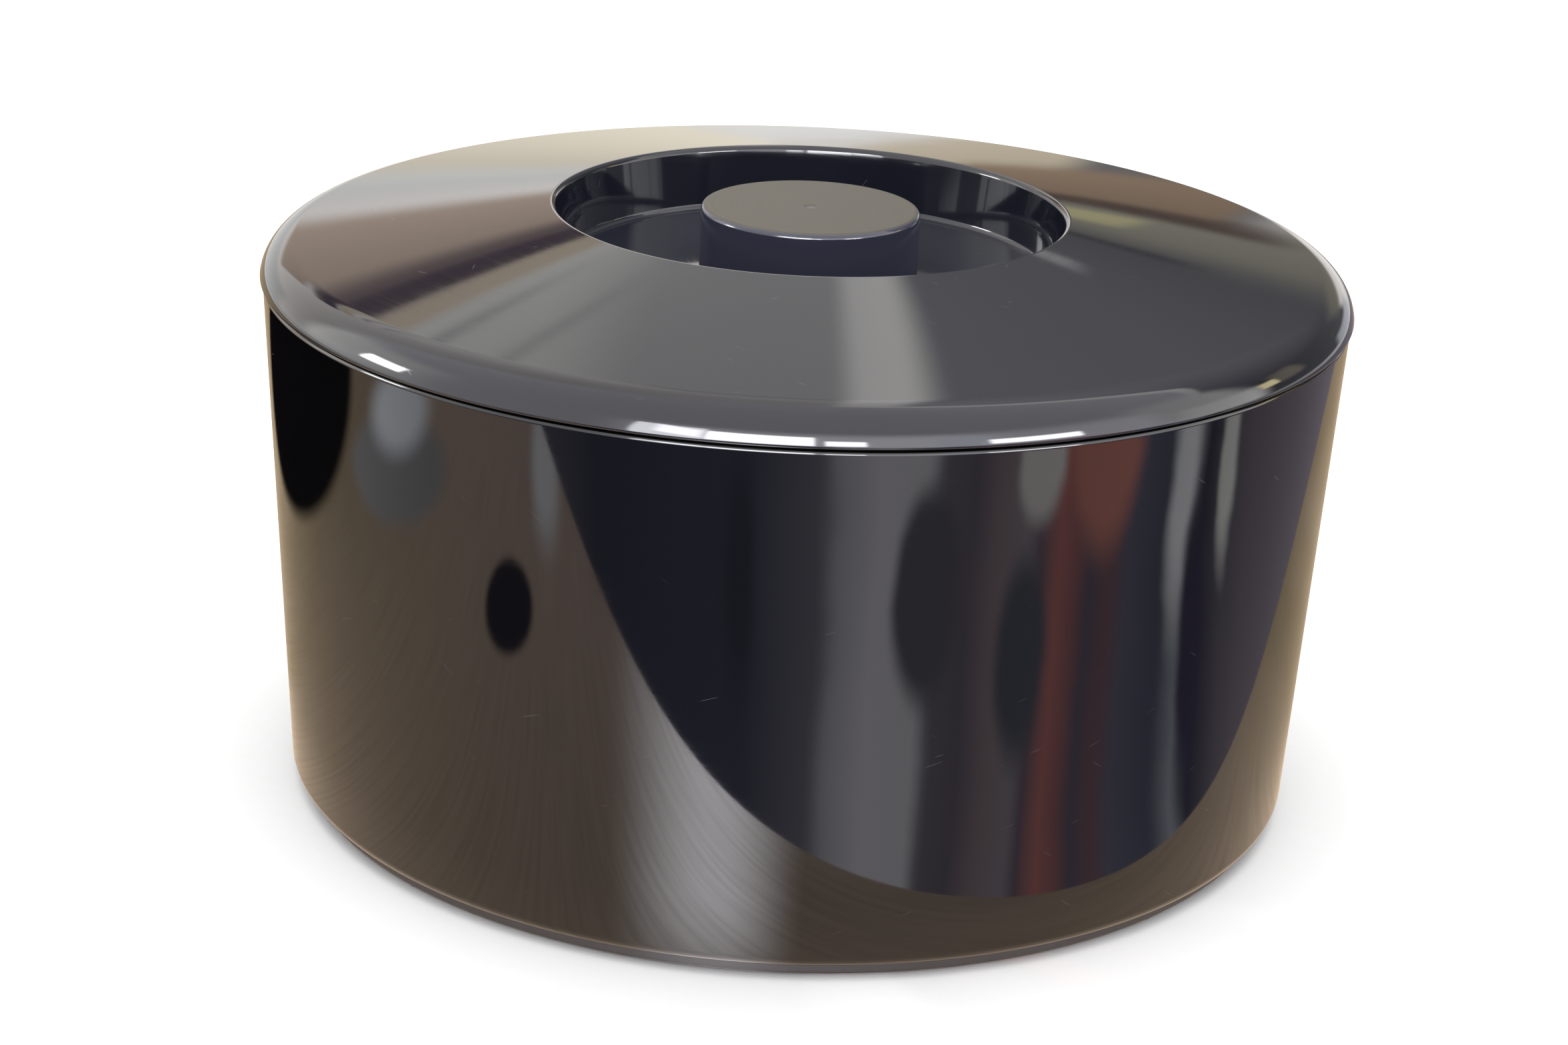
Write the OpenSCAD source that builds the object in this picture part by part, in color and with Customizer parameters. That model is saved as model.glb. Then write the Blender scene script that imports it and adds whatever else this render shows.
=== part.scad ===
// Insulated ice bucket: a tapered double-walled drum on a recessed foot, a loose double-walled lid
// with a round knob standing in a central well, and a slotted drip tray that lifts out.
// Nearly every piece is turned about Z. Z = 0 is the surface the bucket stands on. Millimetres.

/* [Body] */
// Outer diameter across the body's top edge
body_d = 338.3; // [334:0.1:339]
// Height of the body's top edge above the table
body_h = 162.9; // [140:0.1:180]
// Draft of the body's wall, in degrees from vertical
body_draft = 2.9; // [2:0.1:3.5]
// Round between the wall and the underside
bottom_round = 4; // [4:0.1:6]
// Round on the body's top edge
edge_round = 1.5; // [1.5:0.1:2]
// Wall of the outer shell
shell_t = 3.4; // [3.2:0.1:3.6]
// Foam between the shell and the liner
foam_t = 6.8; // [6:0.1:7.5]
// Wall and floor of the inner liner
liner_t = 2.5; // [2:0.1:3]
// Round between the liner's wall and its floor
liner_round = 8; // [6:0.5:9]
// Height of the liner's floor above the table
liner_floor = 18.5; // [18:0.5:24]

/* [Foot] */
// Outer diameter of the recessed foot
foot_d = 314; // [308:1:314]
// Height of the shell's underside above the table
foot_h = 4; // [3.5:0.1:4]
// Width of the foot's standing ring
foot_ring = 11; // [10:0.5:14]
// How far the rubber pads stand out below the foot
pad_proud = 0.5; // [0.3:0.1:0.8]
// Diameter of a rubber pad
pad_d = 9; // [6:0.5:9]
// Number of rubber pads
pad_count = 4; // [3:1:8]
// Number of screws that hold the base plate
screw_count = 4; // [3:1:6]

/* [Lid] */
// Outer diameter of the lid's rim
lid_d = 340; // [339:0.5:342]
// Slope of the lid's top, in degrees, rising towards the well
lid_slope = 8.6; // [5:0.1:10]
// Round between the lid's top and its rim
rim_round = 12.5; // [8:0.5:14]
// Slope, in degrees from vertical, at which that round stops above the rim's lower edge
rim_stop = 10.3; // [0:0.1:12]
// Round on the rim's lower edge
nose_round = 0.8; // [0.6:0.1:1.2]
// Wall of the lid's cover
lid_t = 2.8; // [2.4:0.1:2.8]
// Wall of the lid's liner
lid_liner_t = 2.2; // [1.8:0.1:2.4]
// Depth to which the lid's plug reaches into the body
plug_h = 8; // [7:0.5:12]
// Sideways play between the plug and the body's mouth
plug_play = 1.3; // [1:0.1:2]

/* [Well and knob] */
// Diameter of the well at its lip
well_d = 158.4; // [140:0.1:170]
// Depth of the well
well_depth = 19.8; // [18:0.1:20]
// Draft of the well's wall, in degrees from vertical
well_draft = 8; // [3:0.5:10]
// Round on the well's lip
lip_round = 1.8; // [1:0.1:3]
// Round between the well's wall and its floor
well_round = 2; // [2:0.5:4]
// Diameter of the knob
knob_d = 68.5; // [60:0.5:80]
// Round on the knob's top edge
knob_round = 1.8; // [1:0.1:3]
// Wall of the knob
knob_t = 3; // [2:0.1:4]

/* [Drip tray] */
// Height of the tray's plate above the liner's floor
tray_lift = 12; // [10:1:20]
// Thickness of the tray's plate
tray_t = 2.5; // [2:0.1:3]
// Play between the tray and the liner's wall
tray_play = 1.8; // [1:0.1:3]
// Height of the tray's upstanding rim above its plate
tray_rim = 3.5; // [2:0.5:5]
// Diameter of the finger hole in the tray's middle
finger_d = 28; // [24:1:34]

/* [Hidden] */
$fn = 180;
SMALL = 48;                     // fragments on small round features
EPS = 0.01;

// Clearances
foam_play = 0.3;                // between a foam block and the walls round it
fit_play = 0.2;                 // between a flange and the recess it sits in

// Body: heights and radii
seat_rise = 0.5;                // liner's flange stands this far above the shell's edge
seat_z = body_h + seat_rise;    // plane on which the lid rests
flange_t = 2.6;
ledge_z = seat_z - flange_t;
liner_under = liner_floor - liner_t;
opening_r = 138;                // hole in the shell's underside, closed by the base plate
rib_t = 3;                      // base plate's locating rib, inside that hole
shell_floor = foot_h + shell_t;
sin_b = sin(body_draft);
cos_b = cos(body_draft);
bottom_c = round_centre(foot_h + bottom_round, bottom_round, 0);
edge_c = round_centre(body_h - edge_round, edge_round, 0);
rebate_r = edge_c[0] - fit_play;
liner_in = shell_t + foam_t + liner_t;
liner_c = round_centre(liner_floor + liner_round, liner_round, liner_in);
mouth_round = 2.4;
mouth_c = [
    wall_r(seat_z - mouth_round, liner_in) + mouth_round * cos_b,
    seat_z - mouth_round,
];

// Foot
foot_r = foot_d / 2;
web_z = 1.3;                    // underside of the base plate inside its standing ring
screw_ring = 110;
boss_r = 4.5;
boss_gap = 0.3;                 // the screws pull the boss towards the plate by up to this much
screw_r = 2;
screw_head_r = 3.9;
screw_head_h = 1.9;
screw_tip = 13;
pad_depth = 1.2;
pad_ring = foot_r - foot_ring / 2;

// Lid
lid_r = lid_d / 2;
lid_foot = seat_z - 0.1;        // lowest edge of the lid's rim
nose_c = [lid_r - nose_round, lid_foot + nose_round];
rim_c = nose_c - (rim_round - nose_round) * [cos(rim_stop), sin(rim_stop)];
up_slope = [-cos(lid_slope), sin(lid_slope)];
off_slope = [sin(lid_slope), cos(lid_slope)];
lip_r = well_d / 2 + lip_round;
rim_end = rim_c + rim_round * off_slope;
lip_end_r = lip_r + lip_round * off_slope[0];
lip_end_z = rim_end[1] + (rim_end[0] - lip_end_r) * tan(lid_slope);
lip_c = [lip_r, lip_end_z - lip_round * off_slope[1]];
top_z = lip_c[1] + lip_round;   // highest point of the lid, level with the knob
well_z = top_z - well_depth;
off_well = [cos(well_draft), -sin(well_draft)];
up_well = [sin(well_draft), cos(well_draft)];
well_foot_z = well_z + well_round * (1 - sin(well_draft));
well_top = lip_c - lip_round * off_well;
well_foot_r = well_top[0] - (well_top[1] - well_foot_z) * tan(well_draft);
well_c = [well_foot_r, well_foot_z] - well_round * off_well;
plug_r = wall_r(seat_z, liner_in) - plug_play;
plug_z = seat_z - plug_h;
plug_round = 3;
plug_c = [
    plug_r - (plug_h - plug_round) * tan(body_draft) - plug_round * cos_b,
    plug_z + plug_round,
];

// Knob and its screw
knob_r = knob_d / 2;
knob_top_t = 3.2;
knob_boss_r = 6.5;
rib_count = 6;
gate_r = 2.4;                   // shallow moulding mark in the middle of the knob's top
gate_depth = 0.3;
knob_screw_r = 2.5;
knob_screw_top = well_z + 12;
knob_head_r = 4.75;
knob_head_h = 3;
washer_r = 8;
washer_t = 1.2;
cover_under = well_z - lid_t;
hub_r = 10.5;                   // hole in the lid's foam, round the screw's head

// Drip tray
tray_z = liner_floor + tray_lift;
tray_r = wall_r(tray_z, liner_in) - tray_play;
tray_rim_t = 2.4;
tray_leg_r = 4;
collar_t = 2.5;
slot_w = 6;
slot_rings = [[38, 10, 20], [70, 20, 22], [102, 30, 24]];  // [middle radius, slots, length]
leg_rings = [[54, 4, 45], [86, 6, 9], [129, 10, 0]];       // [radius, legs, first angle]

// Radius at height z of the surface that lies t inside the body's outer wall
function wall_r(z, t) = body_d / 2 - (body_h - z) * tan(body_draft) - t / cos_b;

// Centre at height z of a round of radius r that is tangent to that surface from inside
function round_centre(z, r, t) = [wall_r(z - r * sin_b, t) - r * cos_b, z];

// Points along an arc about c, from angle a to angle b
function arc(c, r, a, b, steps = 12) =
    [for (i = [0:steps]) let (w = a + (b - a) * i / steps) c + r * [cos(w), sin(w)]];

function reversed(points) = [for (i = [len(points) - 1:-1:0]) points[i]];

// Point where the line through p along u meets the line through q along v
function meet(p, u, q, v) = p + u * cross(q - p, v) / cross(u, v);

// Inner side of the lid's cover, lowered by gap, from height z in the rim to the well's floor
function cover_inside(gap, z) =
    let (
        rim = rim_round - lid_t - gap,
        well = well_round + lid_t + gap,
        corner = meet(rim_c + rim * off_slope, up_slope, well_c + well * off_well, up_well)
    )
    concat(
        arc(rim_c, rim, asin((z - rim_c[1]) / rim), 90 - lid_slope),
        [corner],
        arc(well_c, well, -well_draft, -90)
    );

module turned(points) {
    rotate_extrude() polygon(points);
}

module ring_of(count, radius, start = 0) {
    for (i = [0:count - 1]) rotate(start + i * 360 / count) translate([radius, 0, 0]) children();
}

// Body ---------------------------------------------------------------------------------------

module outer_shell() {
    color("#14141a")
        turned(concat(
            [[opening_r, foot_h]],
            arc(bottom_c, bottom_round, -90, -body_draft),
            arc(edge_c, edge_round, -body_draft, 90),
            [[rebate_r, body_h], [rebate_r, ledge_z], [wall_r(ledge_z, shell_t), ledge_z]],
            arc(bottom_c, bottom_round - shell_t, -body_draft, -90, 4),
            [[opening_r, shell_floor]]
        ));
}

module inner_liner() {
    flange_r = rebate_r - fit_play;
    color("#e4e4e0") difference() {
        union() {
            turned(concat(
                [[0, liner_floor]],
                arc(liner_c, liner_round, -90, -body_draft),
                arc(mouth_c, mouth_round, 180 - body_draft, 90),
                [[flange_r, seat_z], [flange_r, ledge_z]],
                [[wall_r(ledge_z, shell_t + foam_t), ledge_z]],
                arc(liner_c, liner_round + liner_t, -body_draft, -90),
                [[0, liner_under]]
            ));
            ring_of(screw_count, screw_ring)
                translate([0, 0, foot_h + boss_gap])
                    cylinder(r = boss_r, h = liner_under - foot_h - boss_gap + EPS, $fn = SMALL);
        }
        ring_of(screw_count, screw_ring)
            cylinder(r = screw_r, h = screw_tip + 1, $fn = SMALL);
    }
}

// Foam round the wall, with a lip that lies on the shell's underside
module wall_insulation() {
    top = ledge_z - 1;
    color("#f4f2ea")
        turned(concat(
            [
                [opening_r - rib_t, shell_floor + foam_play],
                [bottom_c[0], shell_floor + foam_play],
                [wall_r(bottom_c[1], shell_t + foam_play), bottom_c[1]],
                [wall_r(top, shell_t + foam_play), top],
                [wall_r(top, shell_t + foam_t - foam_play), top],
            ],
            arc(liner_c, liner_round + liner_t + foam_play, -body_draft, -90),
            [[opening_r - rib_t, liner_under - foam_play]]
        ));
}

module floor_insulation() {
    color("#f4f2ea") difference() {
        translate([0, 0, foot_h])
            cylinder(r = opening_r - rib_t - 2 * foam_play, h = liner_under - foot_h - foam_play);
        ring_of(screw_count, screw_ring)
            translate([0, 0, -1]) cylinder(r = boss_r + foam_play, h = liner_under + 2, $fn = SMALL);
    }
}

// Foot ring and closing plate in one, with a rib that centres it in the shell
module base_plate() {
    rib_r = opening_r - fit_play;
    foot_round = 0.8;
    ribs = 12;
    rib_w = 2.4;
    rib_drop = 0.5;
    rib_hub_r = 30;
    color("#18181c") difference() {
        union() {
            turned(concat(
                [[0, web_z], [foot_r - foot_ring, web_z], [foot_r - foot_ring, pad_proud]],
                arc([foot_r - foot_round, pad_proud + foot_round], foot_round, -90, 0, 6),
                [
                    [foot_r, foot_h],
                    [rib_r, foot_h],
                    [rib_r, shell_floor],
                    [rib_r - rib_t + fit_play, shell_floor],
                    [rib_r - rib_t + fit_play, foot_h],
                    [0, foot_h],
                ]
            ));
            ring_of(ribs, 0, 180 / ribs)
                translate([rib_hub_r, -rib_w / 2, web_z - rib_drop])
                    cube([foot_r - foot_ring - rib_hub_r + EPS, rib_w, rib_drop + EPS]);
            translate([0, 0, web_z - rib_drop]) difference() {
                cylinder(r = rib_hub_r + rib_w, h = rib_drop + EPS);
                translate([0, 0, -1]) cylinder(r = rib_hub_r, h = rib_drop + 2);
            }
        }
        ring_of(screw_count, screw_ring) {
            cylinder(r = screw_r + 0.1, h = foot_h + 1, $fn = SMALL);
            translate([0, 0, web_z])
                cylinder(r1 = screw_head_r + 0.1, r2 = screw_r + 0.1, h = screw_head_h, $fn = SMALL);
        }
        ring_of(pad_count, pad_ring, 45)
            cylinder(d = pad_d, h = pad_proud + pad_depth, $fn = SMALL);
    }
}

// Countersunk screws up through the base plate into the liner's bosses
module base_screws() {
    slot_l = 4.6;
    slot_t = 1;
    slot_depth = 1.1;
    color("#b8babd") ring_of(screw_count, screw_ring) difference() {
        union() {
            translate([0, 0, web_z + EPS])
                cylinder(r1 = screw_head_r, r2 = screw_r, h = screw_head_h, $fn = SMALL);
            translate([0, 0, web_z + screw_head_h])
                cylinder(r = screw_r, h = screw_tip - web_z - screw_head_h, $fn = SMALL);
        }
        for (turn = [0, 90]) rotate(turn)
            translate([-slot_l / 2, -slot_t / 2, web_z - 1]) cube([slot_l, slot_t, slot_depth + 1]);
    }
}

module foot_pads() {
    color("#2a2a2a") ring_of(pad_count, pad_ring, 45)
        cylinder(d = pad_d, h = pad_proud + pad_depth, $fn = SMALL);
}

// Lid ----------------------------------------------------------------------------------------

module lid_cover() {
    hole_r = knob_screw_r + fit_play;
    color("#101014")
        turned(concat(
            arc(nose_c, nose_round, -90, rim_stop),
            arc(rim_c, rim_round, rim_stop, 90 - lid_slope, 24),
            arc(lip_c, lip_round, 90 - lid_slope, 180 - well_draft),
            arc(well_c, well_round, -well_draft, -90),
            [[hole_r, well_z], [hole_r, cover_under]],
            reversed(cover_inside(0, lid_foot))
        ));
}

// Closes the lid from below: its flange rests on the body and its plug centres the lid
module lid_liner() {
    flange_r = cover_inside(0, seat_z + lid_liner_t)[0][0] - fit_play;
    color("#e4e4e0")
        turned(concat(
            [[0, plug_z]],
            arc(plug_c, plug_round, -90, -body_draft),
            [[plug_r, seat_z], [flange_r, seat_z], [flange_r, seat_z + lid_liner_t]],
            [[plug_r - lid_liner_t, seat_z + lid_liner_t]],
            arc(plug_c, plug_round - lid_liner_t, -body_draft, -90, 4),
            [[0, plug_z + lid_liner_t]]
        ));
}

module lid_insulation() {
    floor_z = plug_z + lid_liner_t + foam_play;
    step_z = seat_z + lid_liner_t + foam_play;
    step_r = plug_r - lid_liner_t - 1;
    color("#f4f2ea")
        turned(concat(
            [
                [hub_r, floor_z],
                [plug_c[0], floor_z],
                [step_r, step_z],
            ],
            cover_inside(foam_play, step_z),
            [[hub_r, cover_under - foam_play]]
        ));
}

// Hollow turned knob, closed on top, with a ribbed boss for its screw
module knob() {
    inner_r = knob_r - knob_t;
    roof_z = top_z - knob_top_t;
    rib_w = 2;
    rib_foot = well_z + 6;
    color("#1b1b1f") difference() {
        union() {
            turned(concat(
                [[inner_r, well_z], [knob_r, well_z]],
                arc([knob_r - knob_round, top_z - knob_round], knob_round, 0, 90),
                [[gate_r, top_z], [gate_r, top_z - gate_depth], [0, top_z - gate_depth]],
                [[0, roof_z], [inner_r, roof_z]]
            ));
            translate([0, 0, well_z])
                cylinder(r = knob_boss_r, h = roof_z - well_z + EPS, $fn = SMALL);
            ring_of(rib_count, 0)
                translate([knob_boss_r - 1, -rib_w / 2, rib_foot])
                    cube([inner_r - knob_boss_r + 2, rib_w, roof_z - rib_foot + EPS]);
        }
        translate([0, 0, well_z - 1])
            cylinder(r = knob_screw_r, h = knob_screw_top - well_z + 1.5, $fn = SMALL);
    }
}

// Pan-head screw up through the well's floor into the knob
module knob_screw() {
    head_z = cover_under - washer_t - knob_head_h;
    head_round = 1.5;
    slot_l = 5.6;
    slot_t = 1.1;
    slot_depth = 1.6;
    color("#b8babd") difference() {
        turned(concat(
            [[0, head_z]],
            arc([knob_head_r - head_round, head_z + head_round], head_round, -90, 0, 8),
            [
                [knob_head_r, head_z + knob_head_h],
                [knob_screw_r, head_z + knob_head_h],
                [knob_screw_r, knob_screw_top - 1],
                [knob_screw_r - 1, knob_screw_top],
                [0, knob_screw_top],
            ]
        ));
        for (turn = [0, 90]) rotate(turn)
            translate([-slot_l / 2, -slot_t / 2, head_z - 1]) cube([slot_l, slot_t, slot_depth + 1]);
    }
}

module knob_washer() {
    color("#c6c8cb") translate([0, 0, cover_under - washer_t]) difference() {
        cylinder(r = washer_r, h = washer_t, $fn = SMALL);
        translate([0, 0, -1]) cylinder(r = knob_screw_r + fit_play, h = washer_t + 2, $fn = SMALL);
    }
}

// Drip tray ----------------------------------------------------------------------------------

module slot(length) {
    reach = (length - slot_w) / 2;
    translate([0, 0, tray_z - 1]) linear_extrude(tray_t + 2) {
        translate([-reach, -slot_w / 2]) square([2 * reach, slot_w]);
        for (side = [-1, 1]) translate([side * reach, 0]) circle(d = slot_w, $fn = SMALL);
    }
}

module drip_tray() {
    top = tray_z + tray_t + tray_rim;
    rim_in = tray_r - tray_rim_t;
    collar_r = finger_d / 2 + collar_t;
    bead = tray_rim_t / 2;
    color("#d2d6d8") difference() {
        union() {
            turned(concat(
                [[finger_d / 2, tray_z], [tray_r, tray_z]],
                arc([tray_r - bead, top - bead], bead, 0, 180, 10),
                [
                    [rim_in, tray_z + tray_t],
                    [collar_r, tray_z + tray_t],
                    [collar_r, tray_z + 2 * tray_t],
                    [finger_d / 2, tray_z + 2 * tray_t],
                ]
            ));
            for (ring = leg_rings) ring_of(ring[1], ring[0], ring[2])
                translate([0, 0, liner_floor])
                    cylinder(r = tray_leg_r, h = tray_lift + EPS, $fn = SMALL);
        }
        for (ring = slot_rings) ring_of(ring[1], ring[0], 180 / ring[1]) slot(ring[2]);
    }
}

outer_shell();
inner_liner();
wall_insulation();
floor_insulation();
base_plate();
base_screws();
foot_pads();
lid_cover();
lid_liner();
lid_insulation();
knob();
knob_screw();
knob_washer();
drip_tray();
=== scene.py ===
"""Looks of the insulated ice bucket: gloss black shell and lid, satin knob, white liners, studio."""
import math

import bpy
from mathutils import Matrix, Vector


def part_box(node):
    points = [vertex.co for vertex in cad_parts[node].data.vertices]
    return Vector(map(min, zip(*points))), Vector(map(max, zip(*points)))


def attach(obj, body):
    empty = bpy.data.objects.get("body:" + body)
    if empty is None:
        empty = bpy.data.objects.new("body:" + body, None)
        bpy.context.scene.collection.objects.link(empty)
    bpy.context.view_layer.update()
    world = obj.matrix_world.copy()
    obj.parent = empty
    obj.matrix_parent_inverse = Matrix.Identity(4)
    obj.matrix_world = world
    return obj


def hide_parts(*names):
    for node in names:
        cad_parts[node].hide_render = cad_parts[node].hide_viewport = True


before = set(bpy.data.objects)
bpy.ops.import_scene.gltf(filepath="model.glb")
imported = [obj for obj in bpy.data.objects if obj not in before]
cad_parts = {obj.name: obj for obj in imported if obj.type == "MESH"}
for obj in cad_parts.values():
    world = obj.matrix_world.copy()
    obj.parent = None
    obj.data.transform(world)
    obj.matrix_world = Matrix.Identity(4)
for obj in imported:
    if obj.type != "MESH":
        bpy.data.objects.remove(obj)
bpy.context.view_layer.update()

MM = 0.001
FULL_TURN = 2 * math.pi
HALF_TURN = math.pi
QUARTER_TURN = math.pi / 2
DEGREES_PER_RADIAN = 180.0 / math.pi


def degrees(value):
    """An angle given in degrees, in radians."""
    return math.radians(value)


# Sizes ----------------------------------------------------------------------------------------
# What the frame's boxes say is read from them; rounds, drafts and walls are named here.

RIM_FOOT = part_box("lid_cover")[0][2]
LID_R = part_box("lid_cover")[1][0]
LID_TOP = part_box("lid_cover")[1][2]
KNOB_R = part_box("knob")[1][0]
WELL_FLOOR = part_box("knob")[0][2]
SHELL_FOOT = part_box("outer_shell")[0][2]
SHELL_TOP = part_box("outer_shell")[1][2]
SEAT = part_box("inner_liner")[1][2]

SHELL_R = 169.15 * MM           # radius of the wall's surface, carried up to the shell's top
SHELL_DRAFT = degrees(2.9)
SHELL_T = 3.4 * MM
BOTTOM_ROUND = 4 * MM
EDGE_ROUND = 1.5 * MM
SHELL_HOLE_R = 138 * MM
FLANGE_T = 2.6 * MM
FIT_PLAY = 0.2 * MM

LID_SLOPE = degrees(8.6)
RIM_ROUND = 12.5 * MM
RIM_STOP = degrees(10.3)        # slope at which the rim's round meets the nose
NOSE_ROUND = 0.8 * MM
LID_T = 2.8 * MM
WELL_R = 79.2 * MM
WELL_DRAFT = degrees(8)
LIP_ROUND = 1.8 * MM
WELL_ROUND = 2 * MM
SCREW_HOLE_R = 2.7 * MM

KNOB_ROUND = 1.8 * MM
KNOB_T = 3 * MM
KNOB_ROOF_T = 3.2 * MM
KNOB_BOSS_R = 6.5 * MM
KNOB_BORE_R = 2.5 * MM
KNOB_BORE_TOP = WELL_FLOOR + 12.5 * MM
KNOB_RIB_FOOT = WELL_FLOOR + 6 * MM
KNOB_RIB_W = 2 * MM
KNOB_RIBS = 6
GATE_R = 2.4 * MM
GATE_DEPTH = 0.3 * MM

TURN_STEPS = 288                # facets round a turned piece
SAME_POINT = 0.001 * MM         # two points of a profile nearer than this are one


# Meshes ---------------------------------------------------------------------------------------

def new_object(name, verts, faces):
    """A mesh object of these vertices and faces, in the scene."""
    mesh = bpy.data.meshes.new(name)
    mesh.from_pydata(verts, [], faces)
    mesh.update()
    obj = bpy.data.objects.new(name, mesh)
    bpy.context.collection.objects.link(obj)
    return obj


# Turned shapes --------------------------------------------------------------------------------
# A profile is a list of strokes in the plane of radius and height. Each stroke is a list of
# (point, normal), so that every facet gets the true normal of the surface it stands for.

def straight(start, end):
    """A straight stroke. The outside is on its right."""
    run = (end - start).normalized()
    normal = Vector((run.y, -run.x))
    return [(start, normal), (end, normal)]


def arc(centre, radius, start, end, steps=16):
    """An arc stroke. The outside is away from the centre if it runs anticlockwise."""
    side = 1 if end > start else -1
    points = []
    for i in range(steps + 1):
        angle = start + (end - start) * i / steps
        spoke = Vector((math.cos(angle), math.sin(angle)))
        points.append((centre + radius * spoke, side * spoke))
    return points


def joined(*strokes):
    """Strokes in order, with straight ones put in where two don't meet."""
    out = []
    for stroke in strokes:
        if out:
            gap = stroke[0][0] - out[-1][-1][0]
            if gap.length > SAME_POINT:
                out.append(straight(out[-1][-1][0], stroke[0][0]))
        out.append(stroke)
    return out


def corner(r, z):
    """A sharp corner, as a stroke of one point, whose normal isn't used."""
    return [(Vector((r, z)), Vector((1, 0)))]


def add_ring(verts, point):
    """Vertices of one profile point: a full ring, or one vertex on the axis."""
    first = len(verts)
    if point.x < SAME_POINT:
        verts.append((0, 0, point.y))
        return [first] * TURN_STEPS
    for k in range(TURN_STEPS):
        angle = FULL_TURN * k / TURN_STEPS
        verts.append((point.x * math.cos(angle), point.x * math.sin(angle), point.y))
    return list(range(first, first + TURN_STEPS))


def turned(name, strokes):
    """The mesh object of a profile turned about Z, with exact normals.

    A stretch of the profile that runs along the axis makes no faces.
    """
    verts, faces, normals = [], [], []
    rings = {}

    def ring_at(point):
        key = (round(point.x, 7), round(point.y, 7))
        if key not in rings:
            rings[key] = add_ring(verts, point)
        return rings[key]

    for stroke in strokes:
        for (p, np), (q, nq) in zip(stroke, stroke[1:]):
            if (q - p).length < SAME_POINT or max(p.x, q.x) < SAME_POINT:
                continue
            low, high = ring_at(p), ring_at(q)
            for k in range(TURN_STEPS):
                after = (k + 1) % TURN_STEPS
                corners = [(low, k, np), (low, after, np), (high, after, nq), (high, k, nq)]
                face, face_normals = [], []
                for ring, step, n in corners:
                    if ring[step] in face:
                        continue
                    angle = FULL_TURN * step / TURN_STEPS
                    face.append(ring[step])
                    face_normals.append((n.x * math.cos(angle), n.x * math.sin(angle), n.y))
                faces.append(face)
                normals.extend(face_normals)
    obj = new_object(name, verts, faces)
    obj.data.polygons.foreach_set("use_smooth", [True] * len(faces))
    obj.data.normals_split_custom_set(normals)
    obj.data.update()
    return obj


def wall_r(z, inset=0.0):
    """Radius at height z of the surface that lies inset inside the body's outer wall."""
    return SHELL_R - (SHELL_TOP - z) * math.tan(SHELL_DRAFT) - inset / math.cos(SHELL_DRAFT)


def round_centre(z, radius):
    """Centre at height z of a round that touches the body's outer wall from inside."""
    r = wall_r(z - radius * math.sin(SHELL_DRAFT)) - radius * math.cos(SHELL_DRAFT)
    return Vector((r, z))


def meet(p, u, q, v):
    """Point where the line through p along u meets the line through q along v."""
    return p + u * ((q - p).cross(v) / u.cross(v))


def shell_profile():
    """The wall, from the hole in its bottom up the outside, over the edge and down the inside."""
    bottom = round_centre(SHELL_FOOT + BOTTOM_ROUND, BOTTOM_ROUND)
    edge = round_centre(SHELL_TOP - EDGE_ROUND, EDGE_ROUND)
    ledge = SEAT - FLANGE_T
    rebate = edge.x - FIT_PLAY
    inner_round = BOTTOM_ROUND - SHELL_T
    return joined(
        corner(SHELL_HOLE_R, SHELL_FOOT),
        arc(bottom, BOTTOM_ROUND, -QUARTER_TURN, -SHELL_DRAFT, 20),
        arc(edge, EDGE_ROUND, -SHELL_DRAFT, QUARTER_TURN, 20),
        corner(rebate, SHELL_TOP),
        corner(rebate, ledge),
        corner(wall_r(ledge, SHELL_T), ledge),
        arc(bottom, inner_round, -SHELL_DRAFT, -QUARTER_TURN, 6),
        corner(SHELL_HOLE_R, SHELL_FOOT + SHELL_T),
        corner(SHELL_HOLE_R, SHELL_FOOT),
    )


def lid_profile():
    """The cover, from its nose over the rim, the slope and the lip into the well, and back below."""
    nose = Vector((LID_R - NOSE_ROUND, RIM_FOOT + NOSE_ROUND))
    rim = nose - (RIM_ROUND - NOSE_ROUND) * Vector((math.cos(RIM_STOP), math.sin(RIM_STOP)))
    up_slope = Vector((-math.cos(LID_SLOPE), math.sin(LID_SLOPE)))
    off_slope = Vector((math.sin(LID_SLOPE), math.cos(LID_SLOPE)))
    off_well = Vector((math.cos(WELL_DRAFT), -math.sin(WELL_DRAFT)))
    up_well = Vector((math.sin(WELL_DRAFT), math.cos(WELL_DRAFT)))
    lip = Vector((WELL_R + LIP_ROUND, LID_TOP - LIP_ROUND))
    well_top = lip - LIP_ROUND * off_well
    foot_z = WELL_FLOOR + WELL_ROUND * (1 - math.sin(WELL_DRAFT))
    foot_r = well_top.x - (well_top.y - foot_z) * math.tan(WELL_DRAFT)
    well = Vector((foot_r, foot_z)) - WELL_ROUND * off_well
    inner_rim = RIM_ROUND - LID_T
    inner_well = WELL_ROUND + LID_T
    inner_corner = meet(rim + inner_rim * off_slope, up_slope, well + inner_well * off_well, up_well)
    return joined(
        arc(nose, NOSE_ROUND, -QUARTER_TURN, RIM_STOP, 12),
        arc(rim, RIM_ROUND, RIM_STOP, QUARTER_TURN - LID_SLOPE, 48),
        arc(lip, LIP_ROUND, QUARTER_TURN - LID_SLOPE, HALF_TURN - WELL_DRAFT, 20),
        arc(well, WELL_ROUND, -WELL_DRAFT, -QUARTER_TURN, 16),
        corner(SCREW_HOLE_R, WELL_FLOOR),
        corner(SCREW_HOLE_R, WELL_FLOOR - LID_T),
        arc(well, inner_well, -QUARTER_TURN, -WELL_DRAFT, 12),
        corner(*inner_corner),
        arc(rim, inner_rim, QUARTER_TURN - LID_SLOPE, math.asin((RIM_FOOT - rim.y) / inner_rim), 24),
        corner(LID_R - NOSE_ROUND, RIM_FOOT),
    )


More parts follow.
